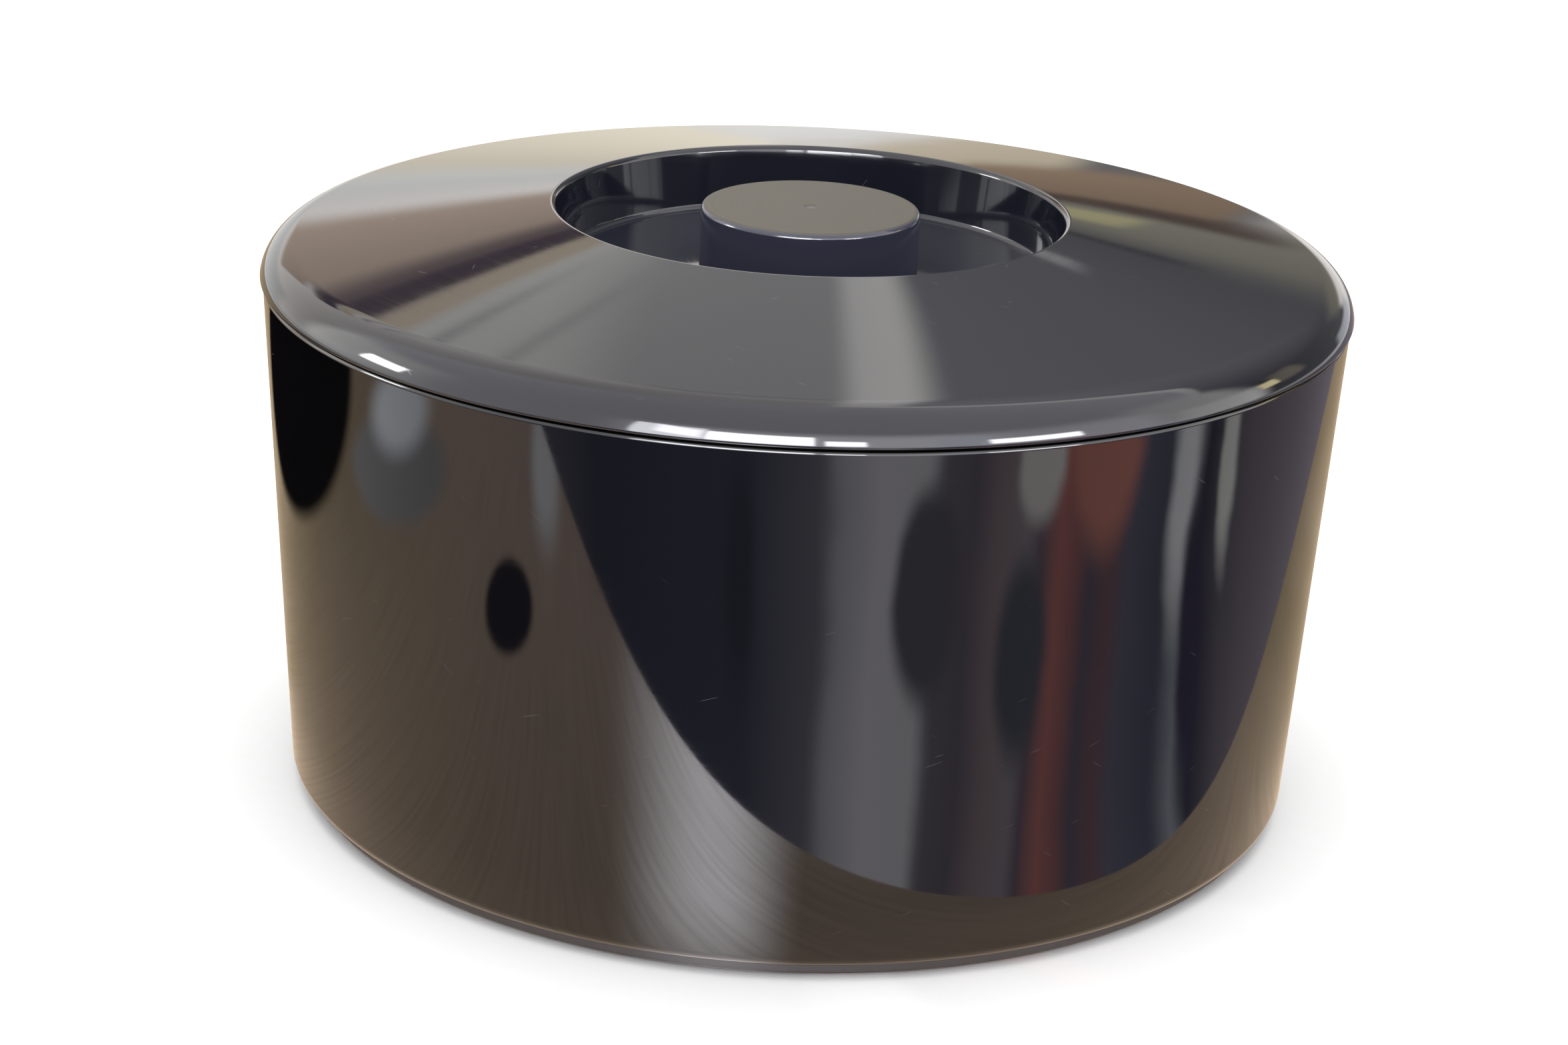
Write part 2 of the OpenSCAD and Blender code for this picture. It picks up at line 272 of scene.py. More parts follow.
def knob_profile():
    """The knob, from its foot over the top to the axis, then its bore, its boss and its hollow."""
    shoulder = Vector((KNOB_R - KNOB_ROUND, LID_TOP - KNOB_ROUND))
    roof = LID_TOP - KNOB_ROOF_T
    return joined(
        corner(KNOB_R - KNOB_T, WELL_FLOOR),
        corner(KNOB_R, WELL_FLOOR),
        arc(shoulder, KNOB_ROUND, 0, QUARTER_TURN, 20),
        corner(GATE_R, LID_TOP),
        corner(GATE_R * 0.5, LID_TOP - GATE_DEPTH),
        corner(0, LID_TOP - GATE_DEPTH),
        corner(0, KNOB_BORE_TOP),
        corner(KNOB_BORE_R, KNOB_BORE_TOP),
        corner(KNOB_BORE_R, WELL_FLOOR),
        corner(KNOB_BOSS_R, WELL_FLOOR),
        corner(KNOB_BOSS_R, roof),
        corner(KNOB_R - KNOB_T, roof),
        corner(KNOB_R - KNOB_T, WELL_FLOOR),
    )


def knob_ribs(name):
    """Thin ribs between the knob's boss and its wall, under the roof, sunk a little into all three."""
    sunk = 1 * MM
    inner = KNOB_BOSS_R - sunk
    outer = KNOB_R - KNOB_T + sunk
    top = LID_TOP - KNOB_ROOF_T + sunk
    verts, faces = [], []
    for i in range(KNOB_RIBS):
        spin = Matrix.Rotation(FULL_TURN * i / KNOB_RIBS, 4, "Z")
        first = len(verts)
        for r in (inner, outer):
            for y in (-KNOB_RIB_W / 2, KNOB_RIB_W / 2):
                for z in (KNOB_RIB_FOOT, top):
                    verts.append(spin @ Vector((r, y, z)))
        for quad in ((0, 1, 3, 2), (4, 6, 7, 5), (0, 4, 5, 1), (2, 3, 7, 6), (0, 2, 6, 4), (1, 5, 7, 3)):
            faces.append([first + v for v in quad])
    return new_object(name, verts, faces)


# Node helpers ---------------------------------------------------------------------------------

class Graph:
    """A material's node tree, with short calls for the nodes used here."""

    def __init__(self, name):
        self.material = bpy.data.materials.new(name)
        self.material.use_nodes = True
        self.nodes = self.material.node_tree.nodes
        self.links = self.material.node_tree.links
        self.nodes.clear()
        self.output = self.nodes.new("ShaderNodeOutputMaterial")

    def put(self, socket, value):
        """Links value to socket if it is a socket, or sets it as the default."""
        if isinstance(value, bpy.types.NodeSocket):
            self.links.new(value, socket)
        else:
            socket.default_value = value

    def node(self, kind, **inputs):
        """A new node, with inputs by name, where _ stands for a space."""
        made = self.nodes.new(kind)
        for key, value in inputs.items():
            self.put(made.inputs[key.replace("_", " ")], value)
        return made

    def math(self, operation, a, b=0.0, c=0.0):
        made = self.nodes.new("ShaderNodeMath")
        made.operation = operation
        for socket, value in zip(made.inputs, (a, b, c)):
            self.put(socket, value)
        return made.outputs[0]

    def mapped(self, value, low, high, to_low=0.0, to_high=1.0, smooth=False):
        """A value carried from the range low to high over to another range, and held at its ends."""
        made = self.nodes.new("ShaderNodeMapRange")
        made.interpolation_type = "SMOOTHSTEP" if smooth else "LINEAR"
        for socket, item in zip(made.inputs, (value, low, high, to_low, to_high)):
            self.put(socket, item)
        return made.outputs[0]

    def vector(self, x, y, z):
        return self.node("ShaderNodeCombineXYZ", X=x, Y=y, Z=z).outputs[0]

    def place(self):
        """The object's own coordinates as (x, y, z) sockets, in metres, and as a vector."""
        coords = self.nodes.new("ShaderNodeTexCoord").outputs["Object"]
        parts = self.node("ShaderNodeSeparateXYZ", Vector=coords).outputs
        return parts[0], parts[1], parts[2], coords

    def length(self, x, y):
        """Length of the vector (x, y)."""
        squares = self.math("ADD", self.math("MULTIPLY", x, x), self.math("MULTIPLY", y, y))
        return self.math("SQRT", squares)

    def noise(self, vector, scale, detail=2.0, roughness=0.5):
        made = self.node("ShaderNodeTexNoise", Vector=vector, Scale=scale, Detail=detail,
                         Roughness=roughness)
        return made.outputs["Fac"]

    def mixed(self, factor, a, b):
        """Colour a where factor is 0 and b where it is 1."""
        made = self.nodes.new("ShaderNodeMix")
        made.data_type = "RGBA"
        self.put(made.inputs["Factor"], factor)
        self.put(made.inputs["A"], a)
        self.put(made.inputs["B"], b)
        return made.outputs["Result"]

    def bump(self, height, distance, normal=None):
        """The normal of a relief that is distance high, on top of another normal if one is given."""
        made = self.node("ShaderNodeBump", Height=height, Distance=distance)
        if normal is not None:
            self.put(made.inputs["Normal"], normal)
        return made.outputs["Normal"]

    def finish(self, kind, **inputs):
        """Ends the tree with a shader of this kind, and gives the material."""
        self.links.new(self.node(kind, **inputs).outputs[0], self.output.inputs["Surface"])
        return self.material

    def body(self, **inputs):
        """The material of a solid thing."""
        return self.finish("ShaderNodeBsdfPrincipled", **inputs)

    def glow(self, colour, strength=1.0):
        """The material of a thing that shines by itself."""
        return self.finish("ShaderNodeEmission", Color=colour, Strength=strength)


def rgb(r, g, b):
    """A colour in linear light, with full alpha."""
    return (r, g, b, 1.0)


def stretched(g, place, along, across, turn):
    """A vector for noise whose grains run long along a direction turned about the wall's face."""
    x, y, z = place[:3]
    around = g.math("ARCTAN2", x, g.math("MULTIPLY", y, -1.0))
    u = g.math("MULTIPLY", around, SHELL_R)
    reach = g.length(x, y)
    v = g.math("SUBTRACT", z, reach)
    c, s = math.cos(turn), math.sin(turn)
    p = g.math("ADD", g.math("MULTIPLY", u, c), g.math("MULTIPLY", v, s))
    q = g.math("SUBTRACT", g.math("MULTIPLY", v, c), g.math("MULTIPLY", u, s))
    return g.vector(g.math("MULTIPLY", p, along), g.math("MULTIPLY", q, across), 0.0)


def hairlines(g, place, turn, along=55.0, across=1500.0, threshold=0.79):
    """Sparse, short, fine scratches: 1 on a scratch and 0 between."""
    grain = g.noise(stretched(g, place, along, across, turn), 1.0, 1.0)
    patch = g.noise(place[3], 9.0, 1.0)
    level = g.math("SUBTRACT", threshold + 0.05, g.math("MULTIPLY", patch, 0.1))
    return g.mapped(g.math("SUBTRACT", grain, level), 0.0, 0.02)


def gloss_plastic(name, colour, roughness, ripple, well_reflection_tint=None):
    """Polished black moulding: mirror gloss with faint waves, wiping marks and hairlines.

    The last colour, if given, is a painted reflection: a lighter, bluer base colour inside the lid's
    well, standing in for the light that its walls mirror.
    """
    g = Graph(name)
    place = g.place()
    waves = g.noise(place[3], 16.0, 1.0)
    wiped = g.noise(stretched(g, place, 4.0, 900.0, degrees(3)), 1.0, 3.0, 0.6)
    cloudy = g.noise(place[3], 28.0, 4.0, 0.6)
    scratches = g.math("MAXIMUM", hairlines(g, place, degrees(18)), hairlines(g, place, degrees(-31)))
    # Painted reflection: inside the well the base colour turns lighter and bluer.
    if well_reflection_tint:
        reach = g.length(place[0], place[1])
        colour = g.mixed(g.mapped(reach, WELL_R - 1 * MM, WELL_R + 1 * MM), well_reflection_tint, colour)
    base = g.mixed(g.math("MULTIPLY", scratches, 0.12), colour, rgb(0.30, 0.31, 0.33))
    rough = g.math("ADD", roughness, g.math("MULTIPLY", g.mapped(wiped, 0.45, 0.8), 0.03))
    rough = g.math("ADD", rough, g.math("MULTIPLY", g.mapped(cloudy, 0.5, 0.8), 0.02))
    rough = g.math("ADD", rough, g.math("MULTIPLY", scratches, 0.25))
    normal = g.bump(waves, ripple)
    normal = g.bump(g.math("MULTIPLY", wiped, -1.0), 0.0005 * MM, normal)
    return g.body(Base_Color=base, Roughness=rough, IOR=1.5, Normal=normal)


def knob_plastic():
    """The same black moulding, with a fine turned, satin face on top, and painted light in its colours:
    bluer on the sides, warmer on top.
    """
    g = Graph("knob_satin_black")
    place = g.place()
    x, y, z = place[:3]
    reach = g.length(x, y)
    on_top = g.mapped(z, LID_TOP - 0.5 * MM, LID_TOP - 0.2 * MM)
    turning = g.vector(g.math("MULTIPLY", reach, 2600.0), g.math("MULTIPLY", x, 20.0), y)
    rings = g.noise(turning, 1.0, 2.0)
    grain = g.noise(place[3], 1800.0, 2.0)
    level = g.math("MULTIPLY", z, 1500.0)
    sides = g.noise(g.vector(g.math("MULTIPLY", x, 6.0), g.math("MULTIPLY", y, 6.0), level), 1.0, 2.0)
    scratches = hairlines(g, place, degrees(24), 90.0, 2400.0)
    # Painted light: the sides are a lighter, bluer black for the window light they catch, and the top a
    # lighter warm tint that adds to the light its satin face mirrors.
    colour = g.mixed(on_top, rgb(0.040, 0.042, 0.066), rgb(0.037, 0.033, 0.023))
    colour = g.mixed(g.math("MULTIPLY", scratches, 0.2), colour, rgb(0.25, 0.25, 0.24))
    rough = g.mapped(on_top, 0.0, 1.0, 0.10, 0.52)
    rough = g.math("ADD", rough, g.math("MULTIPLY", rings, g.math("MULTIPLY", on_top, 0.08)))
    rough = g.math("ADD", rough, g.math("MULTIPLY", g.mapped(sides, 0.4, 0.8), 0.05))
    height = g.math("ADD", g.math("MULTIPLY", rings, 0.6), g.math("MULTIPLY", grain, 0.4))
    normal = g.bump(g.math("MULTIPLY", height, on_top), 0.004 * MM)
    normal = g.bump(sides, 0.001 * MM, normal)
    return g.body(Base_Color=colour, Roughness=rough, IOR=1.5, Normal=normal)


def white_plastic():
    """Food-grade white polypropylene: waxy, with flow clouds and a few grey wear marks."""
    g = Graph("white_polypropylene")
    place = g.place()
    clouds = g.noise(place[3], 22.0, 4.0, 0.6)
    skin = g.noise(place[3], 900.0, 3.0)
    scuffs = hairlines(g, place, degrees(38), 40.0, 900.0, 0.70)
    colour = g.mixed(g.mapped(clouds, 0.3, 0.7), rgb(0.72, 0.725, 0.70), rgb(0.79, 0.79, 0.765))
    colour = g.mixed(g.math("MULTIPLY", scuffs, 0.35), colour, rgb(0.42, 0.42, 0.41))
    rough = g.math("ADD", 0.34, g.math("MULTIPLY", clouds, 0.12))
    normal = g.bump(skin, 0.006 * MM)
    return g.body(Base_Color=colour, Roughness=rough, IOR=1.49, Normal=normal,
                  Subsurface_Weight=0.12, Subsurface_Scale=0.002, Subsurface_Radius=(1.0, 0.9, 0.8))


def bead_foam():
    """Moulded polystyrene: packed beads with soft seams between them."""
    g = Graph("bead_foam")
    place = g.place()
    beads = g.node("ShaderNodeTexVoronoi", Vector=place[3], Scale=330.0)
    beads.feature = "SMOOTH_F1"
    tint = g.node("ShaderNodeTexVoronoi", Vector=place[3], Scale=330.0)
    shade = g.node("ShaderNodeSeparateXYZ", Vector=tint.outputs["Color"]).outputs[0]
    domes = g.mapped(beads.outputs["Distance"], 0.2, 0.75, 1.0, 0.0, smooth=True)
    # Painted shade: each bead is lighter at its crown and darker down into the seams, following the same
    # dome height as the bump.
    colour = g.mixed(domes, rgb(0.66, 0.65, 0.60), rgb(0.86, 0.855, 0.82))
    colour = g.mixed(g.math("MULTIPLY", shade, 0.12), colour, rgb(0.74, 0.73, 0.69))
    normal = g.bump(domes, 0.25 * MM)
    return g.body(Base_Color=colour, Roughness=0.75, IOR=1.4, Normal=normal,
                  Subsurface_Weight=0.1, Subsurface_Scale=0.0015)


def textured_black():
    """Base moulding: black plastic with a fine spark-eroded grain and rubbed high spots."""
    g = Graph("textured_black")
    place = g.place()
    grain = g.noise(place[3], 1400.0, 3.0, 0.65)
    broad = g.noise(place[3], 35.0, 4.0)
    rubbed = g.mapped(broad, 0.52, 0.72)
    colour = g.mixed(g.math("MULTIPLY", rubbed, 0.5), rgb(0.022, 0.021, 0.025), rgb(0.046, 0.044, 0.050))
    rough = g.math("SUBTRACT", 0.42, g.math("MULTIPLY", rubbed, 0.12))
    normal = g.bump(grain, 0.012 * MM)
    return g.body(Base_Color=colour, Roughness=rough, IOR=1.5, Normal=normal)


def screw_steel():
    """Zinc-plated steel, with fine turning marks and dull patches."""
    g = Graph("screw_steel")
    place = g.place()
    lathe = g.noise(g.vector(place[0], place[1], g.math("MULTIPLY", place[2], 30.0)), 500.0, 2.0)
    patches = g.noise(place[3], 450.0, 4.0)
    colour = g.mixed(g.mapped(patches, 0.35, 0.7), rgb(0.62, 0.63, 0.65), rgb(0.46, 0.47, 0.50))
    rough = g.math("ADD", 0.24, g.math("MULTIPLY", patches, 0.18))
    normal = g.bump(lathe, 0.01 * MM)
    return g.body(Base_Color=colour, Roughness=rough, Metallic=1.0, Normal=normal)


def pad_rubber():
    """Dull black rubber, greyed where it has stood."""
    g = Graph("pad_rubber")
    place = g.place()
    grain = g.noise(place[3], 1600.0, 3.0)
    dusty = g.noise(place[3], 160.0, 4.0)
    colour = g.mixed(g.mapped(dusty, 0.45, 0.75), rgb(0.020, 0.020, 0.020), rgb(0.075, 0.073, 0.070))
    normal = g.bump(grain, 0.03 * MM)
    return g.body(Base_Color=colour, Roughness=0.78, IOR=1.5, Normal=normal)


def tray_plastic():
    """Milky grey polypropylene of the drip tray."""
    g = Graph("tray_grey")
    place = g.place()
    flow = g.noise(place[3], 30.0, 4.0, 0.6)
    skin = g.noise(place[3], 1100.0, 3.0)
    scuffs = hairlines(g, place, degrees(-22), 45.0, 900.0, 0.69)
    colour = g.mixed(flow, rgb(0.52, 0.54, 0.55), rgb(0.62, 0.64, 0.645))
    colour = g.mixed(g.math("MULTIPLY", scuffs, 0.35), colour, rgb(0.34, 0.35, 0.36))
    rough = g.math("ADD", 0.32, g.math("MULTIPLY", flow, 0.14))
    normal = g.bump(skin, 0.008 * MM)
    return g.body(Base_Color=colour, Roughness=rough, IOR=1.49, Normal=normal,
                  Subsurface_Weight=0.15, Subsurface_Scale=0.002)


# Pieces ---------------------------------------------------------------------------------------

def paint(obj, material):
    """Gives the whole object one material."""
    obj.data.materials.clear()
    obj.data.materials.append(material)


def repaint(node, material):
    """Puts a material in every slot of a CAD node's object."""
    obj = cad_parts[node]
    for slot in obj.material_slots:
        slot.link = "OBJECT"
        slot.material = material


def stand_for(obj, node, body, material):
    """Puts a turned piece in the place of a CAD node."""
    paint(obj, material)
    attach(obj, body)
    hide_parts(node)


def build_pieces():
    shell_black = gloss_plastic("shell_gloss_black", rgb(0.0016, 0.0015, 0.0018), 0.04, 0.02 * MM)
    # The lid's black is lighter and bluer than the shell's: painted light in place of the reflections
    # that brighten its well. The last colour is the painted reflection inside the well.
    lid_black = gloss_plastic("lid_gloss_black", rgb(0.0068, 0.0073, 0.0112), 0.045, 0.03 * MM,
                              rgb(0.0100, 0.0112, 0.0185))
    knob_black = knob_plastic()
    stand_for(turned("shell_skin", shell_profile()), "outer_shell", "bucket", shell_black)
    stand_for(turned("lid_skin", lid_profile()), "lid_cover", "lid", lid_black)
    stand_for(turned("knob_skin", knob_profile()), "knob", "lid", knob_black)
    ribs = knob_ribs("knob_ribs")
    paint(ribs, knob_black)
    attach(ribs, "lid")
    white, foam, steel = white_plastic(), bead_foam(), screw_steel()
    finishes = {
        "inner_liner": white, "lid_liner": white,
        "wall_insulation": foam, "floor_insulation": foam, "lid_insulation": foam,
        "base_screws": steel, "knob_screw": steel, "knob_washer": steel,
        "base_plate": textured_black(), "foot_pads": pad_rubber(), "drip_tray": tray_plastic(),
    }
    for node, material in finishes.items():
        repaint(node, material)


# Studio ---------------------------------------------------------------------------------------
# The gloss shows what stands round it: a round table whose edge passes close in front of the
# bucket, a dim room beyond that edge, and a dome with pale walls, windows and a ceiling. These
# three shine by themselves, and only the gloss sees them. The softbox and the world light the
# rest, and the gloss doesn't see those two.

TABLE_R = 0.92
TABLE_CENTRE = Vector((-0.48, 0.545, 0.0))
TABLE_LIFT = 0.2 * MM            # above the floor, and above the room's disc
ROOM_R = 1.6
ROOM_LIFT = 0.1 * MM
FAN_CENTRE_Y = -0.55 * SHELL_R   # the wall mirrors the room as a fan about this point
DOME_CENTRE = Vector((0, 0, LID_TOP))
DOME_R = 3.0
FLOOR_REACH = 8.0                # half the floor's side
SOFTBOX_SIDE = 3.4
SOFTBOX_HEIGHT = 2.2
SOFTBOX_WATTS = 75.0


def seen_in_gloss_only(obj):
    obj.visible_camera = False
    obj.visible_diffuse = False
    obj.visible_shadow = False
    obj.visible_transmission = False
    obj.visible_volume_scatter = False


def flat_mesh(name, loop):
    """One flat face round a loop of points."""
    return new_object(name, loop, [list(range(len(loop)))])


def circle_points(centre, radius, z, count):
    """Points spaced evenly round a level circle."""
    points = []
    for k in range(count):
        angle = FULL_TURN * k / count
        points.append((centre.x + radius * math.cos(angle), centre.y + radius * math.sin(angle), z))
    return points


def fan_angle(g, x, y):
    """Direction from the fan's centre, in degrees: 0 to the front and 90 to the right."""
    back = g.math("SUBTRACT", FAN_CENTRE_Y, y)
    return g.math("MULTIPLY", g.math("ARCTAN2", x, back), DEGREES_PER_RADIAN)


def ramp(g, factor, stops):
    """A straight colour ramp with (position, colour) stops."""
    made = g.node("ShaderNodeValToRGB", Fac=factor)
    band = made.color_ramp
    band.interpolation = "LINEAR"
    while len(band.elements) > 1:
        band.elements.remove(band.elements[-1])
    band.elements[0].position = stops[0][0]
    band.elements[0].color = stops[0][1]
    for position, colour in stops[1:]:
        band.elements.new(position).color = colour
    return made.outputs["Color"]


def floor_material():
    g = Graph("pale_floor")
    place = g.place()
    cloud = g.noise(place[3], 1.5, 3.0)
    fine = g.noise(place[3], 300.0, 2.0)
    colour = g.mixed(g.math("MULTIPLY", g.math("ADD", cloud, fine), 0.5), rgb(0.80, 0.795, 0.785),
                     rgb(0.84, 0.838, 0.83))
    return g.body(Base_Color=colour, Roughness=0.8)


def blot(g, x, y, tint, spec):
    """Lays one soft-edged ellipse of colour over a tint.

    A blot is (x, y, half its length, half its width, turn in degrees, softness of its edge, colour).
    """
    at_x, at_y, half_long, half_wide, turn, soft, colour = spec
    c, s = math.cos(degrees(turn)), math.sin(degrees(turn))
    dx, dy = g.math("SUBTRACT", x, at_x), g.math("SUBTRACT", y, at_y)
    along = g.math("ADD", g.math("MULTIPLY", dx, c), g.math("MULTIPLY", dy, s))
    across = g.math("SUBTRACT", g.math("MULTIPLY", dy, c), g.math("MULTIPLY", dx, s))
    u, v = g.math("DIVIDE", along, half_long), g.math("DIVIDE", across, half_wide)
    mask = g.mapped(g.length(u, v), 1 - soft, 1 + soft, 1.0, 0.0, smooth=True)
    return g.mixed(mask, tint, rgb(*colour))


def table_material():
    """Tan table top, with painted light brighter in front, a window's glare towards the front left, and
    a painted shadow close round the bucket.
    """
    g = Graph("card_table")
    x, y, _, coords = g.place()
    # Painted light: the table glows brighter towards the front, falling off towards the back and sides.
    depth = g.mapped(y, -0.30, 0.05)
    tint = ramp(g, depth, [
        (0.0, rgb(1.40, 1.07, 0.92)), (0.45, rgb(1.16, 0.88, 0.66)), (1.0, rgb(0.58, 0.44, 0.27)),
    ])
    along = g.math("ADD", g.math("MULTIPLY", x, 0.8), g.math("MULTIPLY", y, 0.6))
    across = g.math("SUBTRACT", g.math("MULTIPLY", y, 0.8), g.math("MULTIPLY", x, 0.6))
    fibres = g.vector(g.math("MULTIPLY", along, 12.0), g.math("MULTIPLY", across, 420.0), 0.0)
    grain = g.noise(fibres, 1.0, 3.0)
    cloud = g.noise(coords, 7.0, 3.0)
    tint = g.mixed(g.mapped(cloud, 0.3, 0.7, 0.0, 0.22), tint, rgb(1.05, 0.86, 0.70))
    angle = fan_angle(g, x, y)
    reach = g.length(x, y)
    glare = g.mapped(angle, -40.0, -16.0, smooth=True)
    glare = g.math("MULTIPLY", glare, g.mapped(angle, -14.0, 6.0, 1.0, 0.0, smooth=True))
    # Painted shadow: the glare fades close round the bucket's foot.
    nearby = g.mapped(reach, SHELL_R - 12 * MM, SHELL_R + 40 * MM, 0.35, 1.0, smooth=True)
    glare = g.math("MULTIPLY", glare, nearby)
    tint = g.mixed(glare, tint, rgb(7.0, 6.8, 7.0))
    tint = g.mixed(g.mapped(grain, 0.4, 0.7, 0.0, 0.22), tint, rgb(0.40, 0.30, 0.22))
    for spec in (
        (-0.345, -0.352, 0.07, 0.020, 33, 0.5, (2.2, 2.2, 2.3)),
        (-0.272, -0.242, 0.038, 0.029, 25, 0.15, (0.06, 0.055, 0.08)),
        (-0.44, -0.10, 0.055, 0.10, 8, 0.2, (0.80, 0.78, 0.80)),
        (-0.50, -0.11, 0.045, 0.065, 0, 0.4, (2.3, 2.4, 2.6)),
        (-0.50, 0.24, 0.21, 0.22, 0, 0.06, (0.005, 0.004, 0.005)),
    ):
        tint = blot(g, x, y, tint, spec)
    # Painted shadow: the table glows dimmer close round the bucket's foot.
    under = g.mapped(reach, SHELL_R - 17 * MM, SHELL_R - 7 * MM, 0.5, 1.1, smooth=True)
    under = g.math("MULTIPLY", under, g.mapped(reach, SHELL_R, SHELL_R + 30 * MM, 1.0, 0.9, smooth=True))
    return g.glow(tint, under)


def room_material():
    """The dim room beyond the table's edge, as upright bands of blue-black, grey and dull red."""
    g = Graph("card_room")
    x, y, _, coords = g.place()
    angle = fan_angle(g, x, y)
    sway = g.math("MULTIPLY", g.math("SUBTRACT", g.noise(coords, 7.0, 3.0), 0.5), 5.0)
    angle = g.math("ADD", angle, sway)
    # Fan angle in degrees, and the colour there.
    bands = [
        (-180, (0.30, 0.28, 0.36)), (-48, (0.26, 0.26, 0.36)), (-42, (0.16, 0.165, 0.27)),
        (-10, (0.25, 0.255, 0.42)), (-3, (0.42, 0.42, 0.56)), (5, (0.60, 0.60, 0.74)),
        (9, (1.60, 1.58, 1.72)), (17, (2.35, 2.25, 2.45)), (27, (2.20, 2.15, 2.30)),
        (30, (0.60, 0.56, 0.68)), (37, (0.50, 0.44, 0.56)), (43, (0.98, 0.74, 0.82)),
        (49, (1.00, 0.88, 1.00)), (52, (0.55, 0.42, 0.55)), (56, (1.60, 0.60, 0.56)),
        (60, (1.05, 0.44, 0.48)), (63, (0.40, 0.36, 0.50)), (68, (0.66, 0.36, 0.42)),
        (72, (0.44, 0.43, 0.62)), (81, (0.24, 0.26, 0.38)), (86, (0.85, 0.88, 1.02)),
        (90, (0.12, 0.11, 0.18)), (97, (0.30, 0.28, 0.34)), (103, (0.36, 0.31, 0.37)),
        (125, (0.34, 0.30, 0.35)), (180, (0.30, 0.28, 0.34)),
    ]
    stops = [((degree + 180) / 360, rgb(*colour)) for degree, colour in bands]
    tint = ramp(g, g.mapped(angle, -180.0, 180.0), stops)
    far = g.math("SUBTRACT", y, FAN_CENTRE_Y)
    reach = g.length(x, far)
    outward = g.math("MULTIPLY", reach, 1 / MM)
    # Blots by fan angle in degrees and by reach in millimetres.
    for spec in (
        (28, 325, 7, 85, 0, 0.22, (0.42, 0.40, 0.47)),
        (49, 285, 5, 75, 0, 0.3, (0.34, 0.36, 0.46)),
        (51, 455, 5, 60, 0, 0.25, (2.5, 2.4, 2.35)),
        (65, 500, 8, 120, 0, 0.25, (1.95, 0.78, 0.64)),
        (84, 470, 3.2, 130, 0, 0.5, (2.4, 2.4, 2.5)),
        (89, 320, 3, 120, 0, 0.4, (0.14, 0.12, 0.22)),
        (96.5, 500, 2.2, 110, 0, 0.4, (1.8, 1.8, 1.75)),
        (-12, 330, 3.2, 85, 0, 0.6, (0.165, 0.165, 0.255)),
    ):
        tint = blot(g, angle, outward, tint, spec)
    return g.glow(tint)


def patch(g, place, tint, spec):
    """Lays one soft-edged patch of colour over a tint, at an azimuth and elevation in degrees.

    A patch is (azimuth, elevation, width, height, softness of its sides, softness of its top and
    bottom, lean, colour), where lean is how much it rises for each degree of azimuth.
    """
    azimuth, elevation, width, height, soft_w, soft_h, lean, colour = spec
    aside = g.math("WRAP", g.math("SUBTRACT", place[0], azimuth), 180.0, -180.0)
    above = g.math("SUBTRACT", place[1], elevation)
    if lean:
        above = g.math("SUBTRACT", above, g.math("MULTIPLY", aside, lean))
    mask = 1.0
    for offset, size, soft in ((aside, width, soft_w), (above, height, soft_h)):
        inner, outer = (size - soft) / 2, (size + soft) / 2
        edge = g.mapped(g.math("ABSOLUTE", offset), inner, outer, 1.0, 0.0, smooth=True)
        mask = g.math("MULTIPLY", edge, mask)
    return g.mixed(mask, tint, rgb(*colour))


def dim_corner(g, x, y, z, elevation, tint):
    """The dim part of the room behind on the right, under a bright rail along its ceiling."""
    # How far right and how far back a direction goes for each metre up.
    height = g.math("MAXIMUM", z, 0.02)
    right = g.math("DIVIDE", x, height)
    back = g.math("DIVIDE", y, height)
    side = g.math("SUBTRACT", right, 0.135)
    far = g.math("SUBTRACT", back, g.mapped(right, 0.9, 2.2, 0.42, -0.05))
    inside = g.math("MINIMUM", side, far)
    rail = g.mapped(g.math("ABSOLUTE", g.math("ADD", inside, 0.045)), 0.02, 0.06, 1.0, 0.0, smooth=True)
    rail = g.math("MULTIPLY", rail, g.mapped(elevation, 29.0, 50.0, 0.3, 1.0, smooth=True))
    rail = g.math("MULTIPLY", rail, g.mapped(elevation, 22.0, 30.0, smooth=True))
    shade = ramp(g, g.mapped(elevation, 0.0, 60.0), [
        (0.0, rgb(0.20, 0.20, 0.20)), (0.3, rgb(0.22, 0.215, 0.215)), (0.5, rgb(0.44, 0.43, 0.46)),
        (0.75, rgb(0.78, 0.77, 0.82)), (1.0, rgb(1.40, 1.38, 1.42)),
    ])
    tint = g.mixed(g.mapped(inside, -0.01, 0.035, smooth=True), tint, shade)
    return g.mixed(rail, tint, rgb(3.3, 3.2, 3.1))


